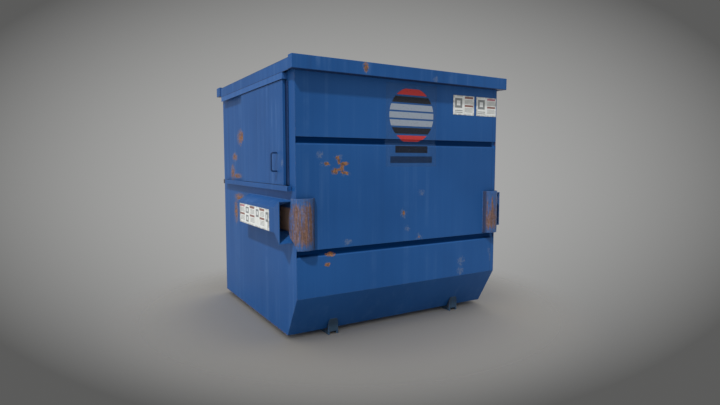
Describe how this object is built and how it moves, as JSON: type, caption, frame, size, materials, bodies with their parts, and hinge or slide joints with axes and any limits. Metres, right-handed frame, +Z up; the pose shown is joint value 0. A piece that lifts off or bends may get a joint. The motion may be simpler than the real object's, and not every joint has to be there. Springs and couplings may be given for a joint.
{
  "type": "dumpster",
  "caption": "Steel front-load dumpster with a flat lid hinged at the rear, a sliding door in each side, flared fork pockets, half-round corner guards and channel skids.",
  "frame": {"origin": "on the ground, under the centre of the whole part's box", "axes": "+X to the right seen from the front, +Y from the front to the hinged back, +Z up"},
  "size_m": [2.0368, 1.8469, 1.947],
  "materials": {
    "blue_paint": "weathered semi-gloss blue paint with streaks, scuffs and rust spots",
    "door_paint": "weathered semi-gloss blue paint, rusty at the rear edge",
    "lid_paint": "weathered semi-gloss blue paint, chalky on top",
    "rusted_plate": "blue paint scraped down to rust in upright streaks",
    "dark_steel": "dark dirty steel",
    "label_film": "dirty pale film with plain bars"
  },
  "bodies": {
    "body": {"floor_plate": "blue_paint", "front_slope_plate": "blue_paint", "front_panel": "blue_paint", "back_panel": "blue_paint", "front_top_rail": "blue_paint", "rear_top_rail": "blue_paint", "left_lower_side": "blue_paint", "right_lower_side": "blue_paint", "left_rear_side": "blue_paint", "right_rear_side": "blue_paint", "left_front_post": "blue_paint", "right_front_post": "blue_paint", "left_door_header": "blue_paint", "right_door_header": "blue_paint", "left_door_sill": "blue_paint", "right_door_sill": "blue_paint", "left_top_track": "blue_paint", "right_top_track": "blue_paint", "left_bottom_track": "blue_paint", "right_bottom_track": "blue_paint", "left_front_stop": "dark_steel", "right_front_stop": "dark_steel", "left_rear_stop": "dark_steel", "right_rear_stop": "dark_steel", "left_fork_pocket": "blue_paint", "right_fork_pocket": "blue_paint", "left_corner_guard": "rusted_plate", "right_corner_guard": "rusted_plate", "left_skid": "blue_paint", "right_skid": "blue_paint", "left_hinge_bracket": "blue_paint", "centre_hinge_bracket": "blue_paint", "right_hinge_bracket": "blue_paint", "hinge_rod": "dark_steel", "left_rod_collar": "dark_steel", "right_rod_collar": "dark_steel", "drain_plug": "dark_steel", "outer_front_label": "label_film", "inner_front_label": "label_film", "left_pocket_label": "label_film", "right_pocket_label": "label_film"},
    "lid": {"lid_sheet": "lid_paint", "left_lid_skirt": "lid_paint", "right_lid_skirt": "lid_paint", "lid_front_rim": "lid_paint", "lid_rear_rim": "lid_paint", "left_lid_rib": "lid_paint", "centre_lid_rib": "lid_paint", "right_lid_rib": "lid_paint", "left_hinge_strap": "lid_paint", "centre_hinge_strap": "lid_paint", "right_hinge_strap": "lid_paint"},
    "left_door": {"left_door_panel": "door_paint", "left_door_top_runner": "dark_steel", "left_door_bottom_runner": "dark_steel", "left_door_handle": "dark_steel"},
    "right_door": {"right_door_panel": "door_paint", "right_door_top_runner": "dark_steel", "right_door_bottom_runner": "dark_steel", "right_door_handle": "dark_steel"}
  },
  "joints": [
    {"name": "lid_hinge", "type": "hinge", "parent": "body", "child": "lid", "pos_m": [0, 0.9015, 1.856], "axis": [-1, 0, 0], "range_deg": [0, 220]},
    {"name": "left_door_slide", "type": "slide", "parent": "body", "child": "left_door", "axis": [0, 1, 0], "range_m": [-0.045, 0.5]},
    {"name": "right_door_slide", "type": "slide", "parent": "body", "child": "right_door", "axis": [0, 1, 0], "range_m": [-0.045, 0.5]}
  ]
}
